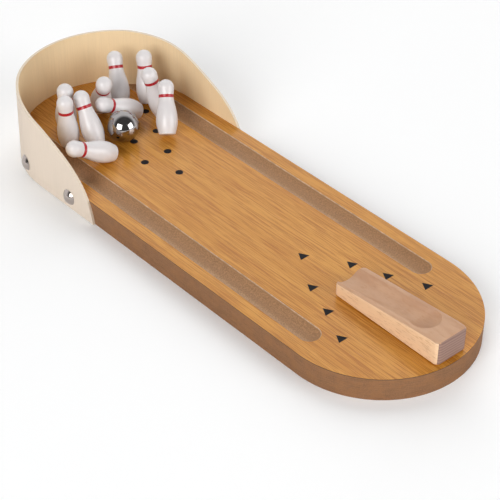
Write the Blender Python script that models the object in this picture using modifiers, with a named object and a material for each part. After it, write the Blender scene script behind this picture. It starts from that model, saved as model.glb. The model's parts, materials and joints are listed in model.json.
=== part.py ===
"""Tabletop bowling game: a round-ended wooden lane with two gutters, a bent
wooden backstop nailed round its pin end, ten turned pins, a steel ball and a
launch ramp.

Metres, +Z up. The origin is the middle of the lane's underside, the player
stands at -Y and the pins at +Y. The pins are part way through their fall."""

import math

import bmesh
import bpy
from mathutils import Matrix, Vector

# Clearances shared by pieces that touch
SEAT_GAP = 0.0003
CUT_OVERRUN = 0.004
SMALLEST_MERGE = 0.00001

# Lane board: a thick core under a thin printed veneer, ends full half circles
BOARD_LENGTH = 0.300
BOARD_WIDTH = 0.1018
BOARD_THICKNESS = 0.0126
VENEER_THICKNESS = 0.0006

# Steel ball, sized to the board's width, come to rest among the pins. Its
# place is in half board widths from the bend's centre
BALL_RADIUS_SHARE = 0.0860
BALL_PLACE_SHARES = (-0.061, -0.212)

# Gutters: round-nosed grooves that run out under the backstop. They stand off
# the middle by a share of the half width, their section follows the ball
GUTTER_OFFSET_SHARE = 0.733
GUTTER_NOSE_RADIUS_SHARE = 0.88
GUTTER_DEPTH_SHARE = 0.303
GUTTER_FRONT_MARGIN = 0.0519

# Backstop: thin sheet bent round the pin end, its free edges swept down
WALL_THICKNESS = 0.0012
WALL_HEIGHT = 0.0448
WALL_REACH = 0.0470
WALL_LEAN_IN = 0.0007
WALL_FOOT_RISE = 0.0003
# Free edge seen from the side: reach ahead of the bend's centre, height
WALL_EDGE_SHARES = ((-0.75, 1.0), (-0.21, 0.92), (0.33, 0.735), (0.735, 0.495), (0.915, 0.26))

# Domed nails that hold the backstop: two a side and one at the back
NAIL_HEAD_RADIUS = 0.0044
NAIL_HEAD_RISE = 0.0024
NAIL_SHANK_RADIUS = 0.0008
NAIL_SHANK_LENGTH = 0.0100
NAIL_POINT_LENGTH = 0.0015
NAIL_HEIGHT = 0.0069
NAIL_FRONT_REACH = 0.0268
NAIL_REAR_ANGLE = math.radians(15)

# Turned pins: their height is a share of the board's width, so that the rack
# fits the lane, and the shares under it are of that height
PIN_HEIGHT_SHARE = 0.2918
PIN_BASE_RADIUS_SHARE = 0.1525
PIN_BASE_ROUND_SHARE = 0.0202
PIN_BELLY_RADIUS_SHARE = 0.1970
PIN_BELLY_HEIGHT_SHARE = 0.2458
PIN_NECK_RADIUS_SHARE = 0.1357
PIN_NECK_HEIGHT_SHARE = 0.6970
PIN_HEAD_RADIUS_SHARE = 0.1495
PIN_SHOULDER_POWER = 1.15

# Where each pin's rim stands, in half board widths from the bend's centre,
# then the heading that it falls toward and its lean from upright, in degrees
PIN_PLACE_SHARES = (
    ((0.343, -0.444), 51.8, 37.4),
    ((-0.401, -0.423), 171.0, 64.5),
    ((0.491, -0.069), 128.9, 16.8),
    ((-0.351, -0.066), 84.6, 33.4),
    ((0.289, 0.035), 174.8, 60.6),
    ((-0.569, 0.180), 104.6, 2.8),
    ((0.612, 0.243), 62.5, 16.6),
    ((-0.414, 0.304), 242.8, 11.0),
    ((0.064, 0.337), 249.1, 30.0),
    ((0.332, 0.354), 62.6, 34.8),
)

# Launch ramp: a sanded block with a sloping trough and a dished rest for the
# ball. It stands a little askew, its trough is milled as much the other way
RAMP_LENGTH = 0.0676
RAMP_WIDTH = 0.0196
RAMP_LOW_HEIGHT = 0.0080
RAMP_HIGH_HEIGHT = 0.0137
RAMP_FLAT_LENGTH = 0.0062
RAMP_CORNER_RADIUS = 0.0022
RAMP_EDGE_ROUND = 0.0012
RAMP_FRONT_MARGIN = 0.0024
RAMP_SIDE_SHIFT = -0.0003
RAMP_TURN = math.radians(-1)
TROUGH_CLEARANCE = 0.00055
TROUGH_MOUTH_DEPTH = 0.0036
TROUGH_MOUTH_SHIFT = -0.0010
TROUGH_INNER_DEPTH = 0.0028
DISH_DEPTH = 0.0041
DISH_SETBACK = 0.0183

# How finely round forms are faceted, and the turn that makes an edge a sharp one
BEND_STEPS = 41
GUTTER_STEPS = 32
CORNER_STEPS = 4
EDGE_STEPS = 8
NAIL_STEPS = 16
NAIL_DOME_STEPS = 4
PIN_STEPS = 22
PIN_CURVE_STEPS = 4
BALL_STEPS = 24
TROUGH_STEPS = 40
NOSE_STEPS = 8
ROUNDING_STEPS = 3
SHARP_TURN = math.radians(35)

# Sizes, levels and centres that follow from the values above
HALF_WIDTH = BOARD_WIDTH / 2
BEND_CENTRE_Y = BOARD_LENGTH / 2 - HALF_WIDTH
BALL_RADIUS = BALL_RADIUS_SHARE * BOARD_WIDTH
TROUGH_RADIUS = BALL_RADIUS + TROUGH_CLEARANCE
GUTTER_OFFSET = GUTTER_OFFSET_SHARE * HALF_WIDTH
GUTTER_NOSE_RADIUS = GUTTER_NOSE_RADIUS_SHARE * BALL_RADIUS
GUTTER_DEPTH = GUTTER_DEPTH_SHARE * BALL_RADIUS
PIN_HEIGHT = PIN_HEIGHT_SHARE * BOARD_WIDTH
PIN_BASE_RADIUS = PIN_BASE_RADIUS_SHARE * PIN_HEIGHT
PIN_BASE_ROUND = PIN_BASE_ROUND_SHARE * PIN_HEIGHT
PIN_BELLY_RADIUS = PIN_BELLY_RADIUS_SHARE * PIN_HEIGHT
PIN_BELLY_HEIGHT = PIN_BELLY_HEIGHT_SHARE * PIN_HEIGHT
PIN_NECK_RADIUS = PIN_NECK_RADIUS_SHARE * PIN_HEIGHT
PIN_NECK_HEIGHT = PIN_NECK_HEIGHT_SHARE * PIN_HEIGHT
PIN_HEAD_RADIUS = PIN_HEAD_RADIUS_SHARE * PIN_HEIGHT
CORE_TOP = BOARD_THICKNESS - VENEER_THICKNESS - SEAT_GAP
STAND_LEVEL = BOARD_THICKNESS + SEAT_GAP
WALL_INNER_RADIUS = HALF_WIDTH + SEAT_GAP
WALL_OUTER_RADIUS = WALL_INNER_RADIUS + WALL_THICKNESS

PARTS_NAME = "tabletop_bowling_game"
CUTTERS_NAME = "cutters"


def clear_scene():
    for old in list(bpy.data.objects):
        bpy.data.objects.remove(old)


def new_collection(name):
    collection = bpy.data.collections.new(name)
    bpy.context.scene.collection.children.link(collection)
    return collection


def new_material(name, colour, roughness, metallic=0.0):
    material = bpy.data.materials.new(name)
    material.use_nodes = True
    shader = material.node_tree.nodes["Principled BSDF"]
    shader.inputs["Base Color"].default_value = (*colour, 1.0)
    shader.inputs["Roughness"].default_value = roughness
    shader.inputs["Metallic"].default_value = metallic
    return material


def new_part(name, mesh, material=None):
    """An object among the parts, shaded smooth but for its sharp edges."""
    part = bpy.data.objects.new(name, mesh)
    bpy.data.collections[PARTS_NAME].objects.link(part)
    if material:
        mesh.materials.clear()
        mesh.materials.append(material)
    mesh.shade_smooth()
    mesh.set_sharp_from_angle(angle=SHARP_TURN)
    return part


def new_cutter(name, mesh):
    cutter = bpy.data.objects.new(name, mesh)
    cutter.hide_render = True
    cutter.display_type = "WIRE"
    bpy.data.collections[CUTTERS_NAME].objects.link(cutter)
    return cutter


def boolean(part, cutter, operation="DIFFERENCE"):
    modifier = part.modifiers.new(operation.lower() + "_" + cutter.name, "BOOLEAN")
    modifier.operation = operation
    modifier.object = cutter
    modifier.solver = "EXACT"


def arc(centre, radius, start, end, steps):
    """Points of an arc about centre, angles in radians from +X."""
    angles = [start + (end - start) * i / steps for i in range(steps + 1)]
    return [(centre[0] + radius * math.cos(a), centre[1] + radius * math.sin(a)) for a in angles]


def spline_from(curve, points, smooth=()):
    """A closed spline. Points whose index is in smooth get flowing handles."""
    if not smooth:
        spline = curve.splines.new("POLY")
        spline.points.add(len(points) - 1)
        for spot, (x, y) in zip(spline.points, points):
            spot.co = (x, y, 0, 1)
    else:
        spline = curve.splines.new("BEZIER")
        spline.bezier_points.add(len(points) - 1)
        for index, (spot, (x, y)) in enumerate(zip(spline.bezier_points, points)):
            spot.co = (x, y, 0)
            kind = "AUTO" if index in smooth else "VECTOR"
            spot.handle_left_type = spot.handle_right_type = kind
        spline.resolution_u = EDGE_STEPS
    spline.use_cyclic_u = True


def slab_mesh(name, outline, low, high, smooth=()):
    """A flat outline in X and Y given a thickness from low to high in Z."""
    curve = bpy.data.curves.new(name, "CURVE")
    curve.dimensions = "2D"
    curve.fill_mode = "BOTH"
    curve.extrude = (high - low) / 2
    spline_from(curve, outline, smooth)
    drawn = bpy.data.objects.new(name, curve)
    bpy.context.scene.collection.objects.link(drawn)
    graph = bpy.context.evaluated_depsgraph_get()
    mesh = bpy.data.meshes.new_from_object(drawn.evaluated_get(graph))
    bpy.data.objects.remove(drawn)
    bpy.data.curves.remove(curve)
    shape = bmesh.new()
    shape.from_mesh(mesh)
    bmesh.ops.remove_doubles(shape, verts=shape.verts, dist=SMALLEST_MERGE)
    bmesh.ops.translate(shape, verts=shape.verts, vec=(0, 0, (low + high) / 2))
    shape.to_mesh(mesh)
    shape.free()
    mesh.name = name
    return mesh


def profile_mesh(name, profile):
    """Edges of a turned shape's profile, (radius, height) from top to bottom."""
    mesh = bpy.data.meshes.new(name)
    edges = [(i, i + 1) for i in range(len(profile) - 1)]
    mesh.from_pydata([(radius, 0, height) for radius, height in profile], edges, [])
    return mesh


def turn(target, steps):
    """Spin an object's profile about its own Z axis."""
    screw = target.modifiers.new("turned", "SCREW")
    screw.steps = screw.render_steps = steps
    screw.use_merge_vertices = True
    screw.merge_threshold = SMALLEST_MERGE
    screw.use_smooth_shade = True


def nose_profile(radius, length):
    """A rod with one round end at the top, the end's centre at height zero."""
    ball = arc((0, 0), radius, math.pi / 2, 0, NOSE_STEPS)
    return [(max(x, 0), z) for x, z in ball] + [(radius, -length), (0, -length)]


def round_nosed_cutter(name, radius, length, nose_centre, pointing, steps):
    """A ball-nosed milling path: its nose points along the given direction."""
    cutter = new_cutter(name, profile_mesh(name, nose_profile(radius, length)))
    turn(cutter, steps)
    facing = Vector(pointing).to_track_quat("Z", "Y")
    cutter.matrix_world = Matrix.Translation(nose_centre) @ facing.to_matrix().to_4x4()
    return cutter


def stadium(half_width):
    """The lane's outline: straight sides and two full half circles."""
    pin_end = arc((0, BEND_CENTRE_Y), half_width, 0, math.pi, BEND_STEPS)
    player_end = arc((0, -BEND_CENTRE_Y), half_width, math.pi, 2 * math.pi, BEND_STEPS)
    return pin_end + player_end


def gutter_cutters():
    """Round-nosed paths, sunk so that each groove has its stated depth."""
    half_chord = math.sqrt(GUTTER_NOSE_RADIUS**2 - (GUTTER_NOSE_RADIUS - GUTTER_DEPTH) ** 2)
    nose_y = -BOARD_LENGTH / 2 + GUTTER_FRONT_MARGIN + half_chord
    centre_z = BOARD_THICKNESS - GUTTER_DEPTH + GUTTER_NOSE_RADIUS
    length = BOARD_LENGTH / 2 - nose_y + CUT_OVERRUN
    return [
        round_nosed_cutter(
            "gutter_path_" + side,
            GUTTER_NOSE_RADIUS,
            length,
            (sign * GUTTER_OFFSET, nose_y, centre_z),
            (0, -1, 0),
            GUTTER_STEPS,
        )
        for side, sign in (("left", -1), ("right", 1))
    ]


def nail_seats():
    """Name, point on the backstop's outer face and outward heading of each nail."""
    lean_here = WALL_LEAN_IN * NAIL_HEIGHT / WALL_HEIGHT
    radius = WALL_OUTER_RADIUS - lean_here
    seats = []
    for side, sign in (("left", -1), ("right", 1)):
        front = Vector((sign * radius, BEND_CENTRE_Y - NAIL_FRONT_REACH, NAIL_HEIGHT))
        seats.append(("wall_nail_front_" + side, front, Vector((sign, 0, 0))))
        outward = Vector((sign * math.cos(NAIL_REAR_ANGLE), math.sin(NAIL_REAR_ANGLE), 0))
        rear = Vector((0, BEND_CENTRE_Y, NAIL_HEIGHT)) + radius * outward
        seats.append(("wall_nail_rear_" + side, rear, outward))
    back = Vector((0, BEND_CENTRE_Y + radius, NAIL_HEIGHT))
    seats.append(("wall_nail_back", back, Vector((0, 1, 0))))
    return seats


def standing_on(point, outward):
    """Places a shape's own Z axis along outward, its origin at point."""
    facing = outward.to_track_quat("Z", "Y").to_matrix().to_4x4()
    return Matrix.Translation(point) @ facing


def nail_hole_cutters():
    """Drilled from outside through the sheet and into the core."""
    radius = NAIL_SHANK_RADIUS + SEAT_GAP
    depth = NAIL_SHANK_LENGTH + SEAT_GAP
    profile = [(0, CUT_OVERRUN), (radius, CUT_OVERRUN), (radius, -depth), (0, -depth)]
    cutters = []
    for name, point, outward in nail_seats():
        cutter = new_cutter(name + "_hole", profile_mesh(name + "_hole", profile))
        turn(cutter, NAIL_STEPS)
        cutter.matrix_world = standing_on(point, outward)
        cutters.append(cutter)
    return cutters


def build_board(gutters, holes):
    core = new_part(
        "board_core",
        slab_mesh("board_core", stadium(HALF_WIDTH), 0, CORE_TOP),
        new_material("raw_fibreboard", (0.33, 0.18, 0.09), 0.85),
    )
    for cutter in gutters + holes:
        boolean(core, cutter)
    veneer = new_part(
        "lane_veneer",
        slab_mesh("lane_veneer", stadium(HALF_WIDTH), BOARD_THICKNESS - VENEER_THICKNESS, BOARD_THICKNESS),
        new_material("printed_bamboo", (0.58, 0.31, 0.11), 0.45),
    )
    for cutter in gutters:
        boolean(veneer, cutter)


def backstop_outline():
    """The sheet seen from above: a half circle with two straight arms."""
    front_y = BEND_CENTRE_Y - WALL_REACH
    centre = (0, BEND_CENTRE_Y)
    outer = arc(centre, WALL_OUTER_RADIUS, 0, math.pi, BEND_STEPS)
    inner = arc(centre, WALL_INNER_RADIUS, math.pi, 0, BEND_STEPS)
    arms_left = [(-WALL_OUTER_RADIUS, front_y), (-WALL_INNER_RADIUS, front_y)]
    arms_right = [(WALL_INNER_RADIUS, front_y), (WALL_OUTER_RADIUS, front_y)]
    return outer + arms_left + inner + arms_right


def lean_inward(mesh):
    """The bent sheet closes in a little towards its top."""
    for vertex in mesh.vertices:
        share = vertex.co.z / WALL_HEIGHT
        across = Vector((vertex.co.x, max(vertex.co.y - BEND_CENTRE_Y, 0), 0))
        vertex.co -= across.normalized() * WALL_LEAN_IN * share


def side_profile_cutter():
    """Keeps what lies under the free edge: high at the back, swept to the foot."""
    behind = -(WALL_OUTER_RADIUS + CUT_OVERRUN)
    edge = [(reach * WALL_REACH, height * WALL_HEIGHT) for reach, height in WALL_EDGE_SHARES]
    foot = WALL_FOOT_RISE
    outline = [(behind, foot), (WALL_REACH, foot)] + edge[::-1] + [(behind, WALL_HEIGHT)]
    flowing = range(2, 1 + len(edge))
    half = WALL_OUTER_RADIUS + CUT_OVERRUN
    cutter = new_cutter("free_edge_keeper", slab_mesh("free_edge_keeper", outline, -half, half, flowing))
    # The outline's own X runs to the player, its Y up and its thickness across
    turned = Matrix(((0, 0, -1), (-1, 0, 0), (0, 1, 0))).to_4x4()
    cutter.matrix_world = Matrix.Translation((0, BEND_CENTRE_Y, 0)) @ turned
    return cutter


def build_backstop(holes):
    mesh = slab_mesh("backstop_wall", backstop_outline(), 0, WALL_HEIGHT + CUT_OVERRUN)
    lean_inward(mesh)
    wall = new_part("backstop_wall", mesh, new_material("bent_birch", (0.76, 0.64, 0.50), 0.6))
    boolean(wall, side_profile_cutter(), "INTERSECT")
    for cutter in holes:
        boolean(wall, cutter)


def nail_profile():
    """Domed head with a flat underside, round shank and short point."""
    sphere_radius = (NAIL_HEAD_RADIUS**2 + NAIL_HEAD_RISE**2) / (2 * NAIL_HEAD_RISE)
    centre = (0, NAIL_HEAD_RISE - sphere_radius)
    edge_angle = math.asin((sphere_radius - NAIL_HEAD_RISE) / sphere_radius)
    dome = arc(centre, sphere_radius, math.pi / 2, edge_angle, NAIL_DOME_STEPS)
    shank = [
        (NAIL_SHANK_RADIUS, 0),
        (NAIL_SHANK_RADIUS, -NAIL_SHANK_LENGTH + NAIL_POINT_LENGTH),
        (0, -NAIL_SHANK_LENGTH),
    ]
    return [(max(x, 0), z) for x, z in dome] + shank


def build_nails():
    steel = new_material("nickelled_steel", (0.62, 0.61, 0.60), 0.22, 1.0)
    mesh = profile_mesh("wall_nail", nail_profile())
    for name, point, outward in nail_seats():
        nail = new_part(name, mesh, steel)
        turn(nail, NAIL_STEPS)
        nail.matrix_world = standing_on(point + SEAT_GAP * outward, outward)


def eased(low, high, share):
    """From low to high and level at both ends."""
    return low + (high - low) * (1 - math.cos(math.pi * share)) / 2


def pin_profile():
    """Down the pin: round head, slim neck, low belly and a flat base."""
    shares = [i / PIN_CURVE_STEPS for i in range(PIN_CURVE_STEPS)]
    head_height = PIN_HEIGHT - PIN_HEAD_RADIUS
    points = arc((0, head_height), PIN_HEAD_RADIUS, math.pi / 2, 0, PIN_CURVE_STEPS)[:-1]
    for share in shares:
        height = head_height + (PIN_NECK_HEIGHT - head_height) * share
        points.append((eased(PIN_HEAD_RADIUS, PIN_NECK_RADIUS, share), height))
    for share in shares:
        height = PIN_NECK_HEIGHT + (PIN_BELLY_HEIGHT - PIN_NECK_HEIGHT) * share
        swell = 1 - (1 - share) ** PIN_SHOULDER_POWER
        points.append((eased(PIN_NECK_RADIUS, PIN_BELLY_RADIUS, swell), height))
    for share in shares:
        height = PIN_BELLY_HEIGHT + (PIN_BASE_ROUND - PIN_BELLY_HEIGHT) * share
        swell = math.cos(math.pi / 2 * share)
        points.append((PIN_BASE_RADIUS + (PIN_BELLY_RADIUS - PIN_BASE_RADIUS) * swell, height))
    points.append((PIN_BASE_RADIUS, PIN_BASE_ROUND))
    points.append((PIN_BASE_RADIUS - PIN_BASE_ROUND, 0))
    points.append((0, 0))
    return [(max(x, 0), z) for x, z in points]


def build_pins():
    """Each pin hangs from a pivot on its rim, level across its fall."""
    lacquer = new_material("white_lacquer", (0.80, 0.77, 0.76), 0.28)
    mesh = profile_mesh("turned_pin", pin_profile())
    for number, ((across, along), heading, lean) in enumerate(PIN_PLACE_SHARES, 1):
        name = f"pin_{number:02d}"
        pivot = bpy.data.objects.new(name + "_rim_pivot", None)
        bpy.data.collections[PARTS_NAME].objects.link(pivot)
        pivot.location = (across * HALF_WIDTH, BEND_CENTRE_Y + along * HALF_WIDTH, STAND_LEVEL)
        pivot.rotation_mode = "XYZ"
        pivot.rotation_euler = (0, math.radians(lean), math.radians(heading))
        pin = new_part(name, mesh, lacquer)
        pin.parent = pivot
        pin.location = (-PIN_BASE_RADIUS, 0, 0)
        turn(pin, PIN_STEPS)


def build_ball():
    shape = bmesh.new()
    bmesh.ops.create_uvsphere(shape, u_segments=BALL_STEPS, v_segments=BALL_STEPS // 2, radius=BALL_RADIUS)
    mesh = bpy.data.meshes.new("steel_ball")
    shape.to_mesh(mesh)
    shape.free()
    ball = new_part("steel_ball", mesh, new_material("polished_steel", (0.60, 0.60, 0.61), 0.06, 1.0))
    across, along = BALL_PLACE_SHARES
    ball.location = (across * HALF_WIDTH, BEND_CENTRE_Y + along * HALF_WIDTH, STAND_LEVEL + BALL_RADIUS)


def ramp_plan():
    """Rounded rectangle about the ramp's own centre."""
    x = RAMP_WIDTH / 2 - RAMP_CORNER_RADIUS
    y = RAMP_LENGTH / 2 - RAMP_CORNER_RADIUS
    corners = ((x, -y, -1), (x, y, 0), (-x, y, 1), (-x, -y, 2))
    outline = []
    for corner_x, corner_y, quarter in corners:
        start = quarter * math.pi / 2
        outline += arc((corner_x, corner_y), RAMP_CORNER_RADIUS, start, start + math.pi / 2, CORNER_STEPS)
    return outline


def ramp_top_height(from_low_end):
    """Height of the sloping top, measured along the ramp from its low end."""
    run = RAMP_LENGTH - RAMP_FLAT_LENGTH
    return RAMP_LOW_HEIGHT + (RAMP_HIGH_HEIGHT - RAMP_LOW_HEIGHT) * from_low_end / run


def ramp_slope_cutter():
    """Everything above the sloping top, as an outline seen from the side."""
    low_end = RAMP_LENGTH / 2
    beyond = low_end + CUT_OVERRUN
    flat_start = RAMP_FLAT_LENGTH - low_end
    above = RAMP_HIGH_HEIGHT + CUT_OVERRUN
    outline = [
        (beyond, ramp_top_height(-CUT_OVERRUN)),
        (beyond, above),
        (flat_start, above),
        (flat_start, RAMP_HIGH_HEIGHT),
    ]
    half = RAMP_WIDTH / 2 + CUT_OVERRUN
    cutter = new_cutter("ramp_slope", slab_mesh("ramp_slope", outline, -half, half))
    # The outline's own X runs to the pins, its Y up and its thickness across
    cutter.matrix_world = Matrix(((0, 0, 1), (1, 0, 0), (0, 1, 0))).to_4x4()
    return cutter


def sand_edges(part, radius):
    """Rounds the sharp edges over, the facets of round corners stay."""
    rounding = part.modifiers.new("sanded_edges", "BEVEL")
    rounding.width = radius
    rounding.segments = ROUNDING_STEPS
    rounding.limit_method = "ANGLE"
    rounding.angle_limit = SHARP_TURN


def trough_cutters():
    """The sloping trough, and the deeper dish at its upper end."""
    dish_y = DISH_SETBACK - RAMP_LENGTH / 2
    dish_top = ramp_top_height(RAMP_LENGTH / 2 - dish_y)
    inner = Vector((0, dish_y, dish_top - TROUGH_INNER_DEPTH + TROUGH_RADIUS))
    mouth_z = RAMP_LOW_HEIGHT - TROUGH_MOUTH_DEPTH + TROUGH_RADIUS
    mouth = Vector((TROUGH_MOUTH_SHIFT, RAMP_LENGTH / 2, mouth_z))
    uphill = (inner - mouth).normalized()
    length = (inner - mouth).length + CUT_OVERRUN
    trough = round_nosed_cutter("trough_path", TROUGH_RADIUS, length, inner, uphill, TROUGH_STEPS)
    shape = bmesh.new()
    bmesh.ops.create_uvsphere(
        shape, u_segments=TROUGH_STEPS, v_segments=TROUGH_STEPS // 2, radius=TROUGH_RADIUS
    )
    mesh = bpy.data.meshes.new("dish_ball")
    shape.to_mesh(mesh)
    shape.free()
    dish = new_cutter("dish_ball", mesh)
    dish.location = (0, dish_y, dish_top - DISH_DEPTH + TROUGH_RADIUS)
    return [trough, dish]


def build_ramp():
    """The block turns on a pivot under its middle, as the player aims it."""
    pivot = bpy.data.objects.new("launch_ramp_pivot", None)
    bpy.data.collections[PARTS_NAME].objects.link(pivot)
    player_end = -BOARD_LENGTH / 2 + RAMP_FRONT_MARGIN
    pivot.location = (RAMP_SIDE_SHIFT, player_end + RAMP_LENGTH / 2, STAND_LEVEL)
    pivot.rotation_euler = (0, 0, RAMP_TURN)
    block = new_part(
        "launch_ramp",
        slab_mesh("launch_ramp", ramp_plan(), 0, RAMP_HIGH_HEIGHT),
        new_material("beech", (0.72, 0.45, 0.24), 0.55),
    )
    block.parent = pivot
    slope = ramp_slope_cutter()
    boolean(block, slope)
    sand_edges(block, RAMP_EDGE_ROUND)
    slope.parent = pivot
    for cutter in trough_cutters():
        cutter.parent = pivot
        boolean(block, cutter)


def main():
    clear_scene()
    new_collection(PARTS_NAME)
    new_collection(CUTTERS_NAME)
    gutters = gutter_cutters()
    holes = nail_hole_cutters()
    build_board(gutters, holes)
    build_backstop(holes)
    build_nails()
    build_pins()
    build_ball()
    build_ramp()


main()
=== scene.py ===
"""Dresses the tabletop bowling game: lane, gutters, backstop, pins, ball and ramp."""

import json
import math

import bmesh
import bpy
from mathutils import Matrix, Vector


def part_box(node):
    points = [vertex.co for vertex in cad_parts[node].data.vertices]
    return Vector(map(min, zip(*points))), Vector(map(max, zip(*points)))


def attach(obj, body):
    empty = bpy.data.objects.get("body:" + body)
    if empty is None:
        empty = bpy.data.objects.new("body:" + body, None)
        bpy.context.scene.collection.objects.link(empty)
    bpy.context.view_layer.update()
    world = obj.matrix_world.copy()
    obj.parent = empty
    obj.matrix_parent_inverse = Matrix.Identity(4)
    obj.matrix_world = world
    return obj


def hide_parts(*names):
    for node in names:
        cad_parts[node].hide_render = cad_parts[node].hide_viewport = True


bl_info = {
    "name": "Tabletop bowling game",
    "version": (1, 0, 0),
    "blender": (4, 5, 0),
    "location": "View3D > Sidebar > Bowling",
    "description": "Builds the lane, backstop, pins, ball and launch ramp over the packed frame",
    "category": "Object",
}

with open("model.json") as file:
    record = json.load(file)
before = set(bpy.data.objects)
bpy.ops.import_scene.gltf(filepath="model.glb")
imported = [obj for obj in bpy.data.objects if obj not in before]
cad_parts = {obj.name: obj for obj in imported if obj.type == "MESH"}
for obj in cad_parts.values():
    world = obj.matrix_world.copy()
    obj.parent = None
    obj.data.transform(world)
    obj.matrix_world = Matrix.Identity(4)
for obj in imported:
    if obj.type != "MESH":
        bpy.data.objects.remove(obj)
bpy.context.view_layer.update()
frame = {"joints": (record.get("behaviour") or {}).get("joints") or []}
JOINTS = {joint["name"]: joint for joint in frame["joints"]}
BOARD_LOW, BOARD_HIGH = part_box("board_core")
LANE_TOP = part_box("lane_veneer")[1].z
WALL_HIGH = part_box("backstop_wall")[1]
BALL_LOW, BALL_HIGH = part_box("steel_ball")

# How far each pin leans from upright, in degrees, in the order of the pins
PIN_LEANS = (37.4, 64.5, 16.8, 33.4, 60.6, 2.8, 16.6, 11.0, 30.0, 34.8)

# Painted by hand: how much nearer its head some pin's band sits, in metres
PIN_BAND_LIFTS = {3: 0.0009}

# Free edge of the backstop: reach ahead of the bend's centre and height, as
# shares of the full reach and height
WALL_EDGE_SHARES = ((-0.75, 1.0), (-0.21, 0.92), (0.33, 0.735), (0.735, 0.495), (0.915, 0.26))

# Printed marks: how many pin spots each row has, and the aiming arrows' tips
SPOT_ROWS = (1, 2, 3, 4)
ARROW_TIPS = (
    (0.0, -0.0455),
    (0.0133, -0.0659),
    (-0.0133, -0.0659),
    (0.0201, -0.0836),
    (-0.0201, -0.0836),
    (0.0288, -0.1014),
    (-0.0288, -0.1014),
)

# How finely round forms are drawn
BOARD_SIDES = 192
GUTTER_SIDES = 96
TROUGH_SIDES = 128
WALL_SIDES = 256
TRIM_STEPS = 24
NAIL_SIDES = 48
DOME_STEPS = 14
PIN_SIDES = 56
PIN_STEPS = 12
PIN_FOOT_STEPS = 4
PIN_NECK_STEPS = 8
SPOT_SIDES = 40
CORNER_STEPS = 10
BALL_CUTS = 39
TENT_SIDES = 96

# Within this of a line, a point counts as on it
PICK_SLACK = 0.00012

# From how steep a normal on a face takes the top's or the end's material
TOP_FACING = 0.97
WALL_FACING = 0.6
RAMP_TOP_FACING = 0.5
RAMP_END_FACING = 0.66

# Studio, in metres. Each softbox: its name, place and size, the setting that
# holds its power, and whether mirrors see it
GROUND_SIZE = 12
GROUND_DROP = 0.00004
GROUND_GLOW = 0.08
SOFTBOXES = (
    ("left_softbox", (-2.53, -0.94, 1.37), 1.9, "left_lamp", True),
    ("front_softbox", (1.07, -2.61, 1.03), 1.9, "front_lamp", True),
    ("back_softbox", (1.67, 1.67, 1.85), 3.2, "back_lamp", False),
)
TENT_RADIUS = 7.0
TENT_FACING = (-0.391, -0.765, 0.511)
TENT_EDGE_SHARE = 0.42
SENSOR_WIDTH = 36

# Stretch of a pattern that runs no particular way
EVEN = (1, 1, 1)


def length(description, default):
    return bpy.props.FloatProperty(
        description=description, default=default, min=0, unit="LENGTH", precision=5
    )


def angle(description, degrees):
    return bpy.props.FloatProperty(
        description=description, default=math.radians(degrees), subtype="ANGLE"
    )


def number(description, default, unit="NONE"):
    return bpy.props.FloatProperty(description=description, default=default, min=0, unit=unit)


def colour(description, default):
    return bpy.props.FloatVectorProperty(
        description=description, default=default, size=3, min=0, max=1, subtype="COLOR"
    )


class BoardSettings(bpy.types.PropertyGroup):
    """Sizes and colours of the lane board, its gutters and its print."""

    half_width: length("Radius of the board's round ends", BOARD_HIGH.x)
    bend_centre: length("From the board's middle to an end's centre", BOARD_HIGH.y - BOARD_HIGH.x)
    top: length("Height of the lane's surface", LANE_TOP)
    veneer: length("Thickness of the printed layer that shows on the edge", 0.0008)
    edge_round: length("Softening of the board's cut edges", 0.00022)
    gutter_offset: length("From the lane's middle to a gutter's", 0.0373)
    gutter_radius: length("Radius of the cutter that made the gutters", 0.0077)
    gutter_depth: length("Depth of a gutter", 0.00265)
    gutter_margin: length("From the board's front to a gutter's tip", 0.0519)
    spot_radius: length("Radius of a printed pin spot", 0.0021)
    spot_pitch: length("Distance between spots of one row", 0.01556)
    row_pitch: length("Distance between the rows of spots", 0.0190)
    first_row: length("From the lane's middle to the front spot", 0.0455)
    arrow_length: length("From an arrow's base to its tip", 0.0049)
    arrow_width: length("Width of an arrow's base", 0.0057)
    ink_rise: length("How far the ink stands above the lane", 0.00003)
    fibreboard: colour("Raw core at the board's edge", (0.252, 0.126, 0.061))
    # Painted sheen: the lighter speckled colour up each gutter's left flank, where that flank catches the
    # light
    dust: colour("Fine dust along the left flanks of the gutters", (0.640, 0.440, 0.290))
    rust: colour("Warm patches in the raw core", (0.330, 0.150, 0.060))
    groove: colour("Milled core in the gutters", (0.350, 0.186, 0.088))
    straw: colour("Lightest tone of the printed strips", (0.640, 0.292, 0.042))
    honey: colour("Middle tone of the printed strips", (0.570, 0.240, 0.028))
    toffee: colour("Darkest streaks of the print", (0.400, 0.132, 0.009))
    skin: length("Thickness of the layer's pale or dark line on a cut edge", 0.00032)
    lip: colour("Pale line where the gutters cut the printed layer", (0.700, 0.500, 0.330))
    rim: colour("Dark line round the printed layer's outer edge", (0.120, 0.060, 0.030))
    ink: colour("Spots and arrows", (0.012, 0.011, 0.012))


class BackstopSettings(bpy.types.PropertyGroup):
    """Sizes and colours of the bent sheet and its nails."""

    height: length("Height of the sheet at the back", WALL_HIGH.z)
    reach: length("Length of an arm ahead of the bend's centre", 0.0470)
    lean_in: length("How far the top closes in", 0.0007)
    foot: length("Height of the lower edge", 0.0003)
    joint_gap: length("Between the sheet and the board's edge", 0.00008)
    nail_radius: length("Radius of a nail's domed head", 0.0044)
    nail_rise: length("Height of the dome", 0.0024)
    nail_height: length("Nails above the table", 0.0069)
    nail_reach: length("Front nails ahead of the bend's centre", 0.0268)
    nail_angle: angle("Rear nails behind the bend's start", 15)
    outside: colour("Pale outer face", (0.735, 0.624, 0.515))
    # The inner face is the same sheet as the outer one: its warmer, brighter colour is painted light, the
    # warm bounce from the lane
    inside: colour("Warm inner face", (0.860, 0.670, 0.415))
    cut_edge: colour("Sheet's sawn edge", (0.740, 0.630, 0.500))
    nickel: colour("Nail heads", (0.470, 0.415, 0.388))


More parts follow.
